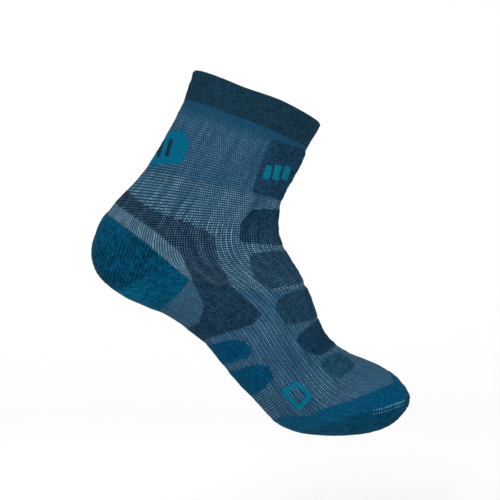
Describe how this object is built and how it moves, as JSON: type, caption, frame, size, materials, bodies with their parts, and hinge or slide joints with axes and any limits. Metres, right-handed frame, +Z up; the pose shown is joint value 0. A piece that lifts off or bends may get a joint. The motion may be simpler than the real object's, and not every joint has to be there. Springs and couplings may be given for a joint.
{
  "type": "hiking sock",
  "caption": "Cushioned quarter-height hiking sock on a foot-shaped form, with turned cuff, mesh panels, ankle and instep pads, support band, heel pocket and cushioned toe.",
  "frame": {"origin": "centre of the leg opening, in the plane of the cuff's rim", "axes": "+Z up as the sock is worn in a push-off stance, +X towards the toes, +Y across the foot towards the little-toe side"},
  "size_m": [0.2274, 0.0824, 0.2625],
  "materials": {
    "cuff": "ribbed heather knit, matt",
    "elastic": "covered elastic yarn",
    "mesh": "open air-channel knit, two-tone blue",
    "pad": "dense terry-backed knit",
    "band": "dense elastic knit",
    "gusset": "light streaky knit",
    "teal_mark": "bright teal yarn",
    "dark_mark": "dark blue yarn",
    "heel": "ribbed cushioned knit",
    "toe": "plain cushioned knit",
    "rib": "dense knit",
    "gore": "fashioning stitches",
    "terry": "terry loops"
  },
  "bodies": {
    "leg": {"cuff_outer_ply": "cuff", "cuff_inner_ply": "cuff", "cuff_elastic": "elastic", "leg_panel": "mesh", "back_patch": "teal_mark", "back_patch_bars": "dark_mark", "shin_pad": "pad", "shin_pad_blocks": "teal_mark", "ankle_panel": "mesh", "ankle_pad_upper": "pad", "ankle_pad_lower": "pad", "support_band_upper": "band", "heel_gusset_upper": "gusset"},
    "foot": {"support_band_lower": "band", "heel_gusset_lower": "gusset", "heel_pocket": "heel", "heel_gore_line": "gore", "heel_terry_lining": "terry", "foot_panel": "mesh", "instep_pad_upper": "pad", "arch_rib_rear": "rib", "arch_rib_front": "rib", "instep_pad_lower": "pad", "toe_pad": "pad", "side_badge": "teal_mark", "ball_panel": "mesh", "ball_cushion": "toe", "ball_terry_lining": "terry"},
    "toe": {"toe_panel": "mesh", "toe_cap": "toe", "toe_gore_line": "gore", "toe_terry_lining": "terry", "toe_seam": "gore"}
  },
  "joints": [
    {"name": "ankle_flex", "type": "hinge", "parent": "leg", "child": "foot", "pos_m": [-0.04, 0, -0.1025], "axis": [0, -1, 0], "range_deg": [-20, 35], "deforming": ["ankle_panel", "ankle_pad_upper", "ankle_pad_lower", "support_band_upper", "heel_gusset_upper"]},
    {"name": "toe_flex", "type": "hinge", "parent": "foot", "child": "toe", "pos_m": [0.0315, 0, -0.215], "axis": [0, -1, 0], "range_deg": [-35, 15], "deforming": ["instep_pad_lower", "toe_pad", "side_badge", "ball_panel", "ball_cushion", "ball_terry_lining"]}
  ]
}
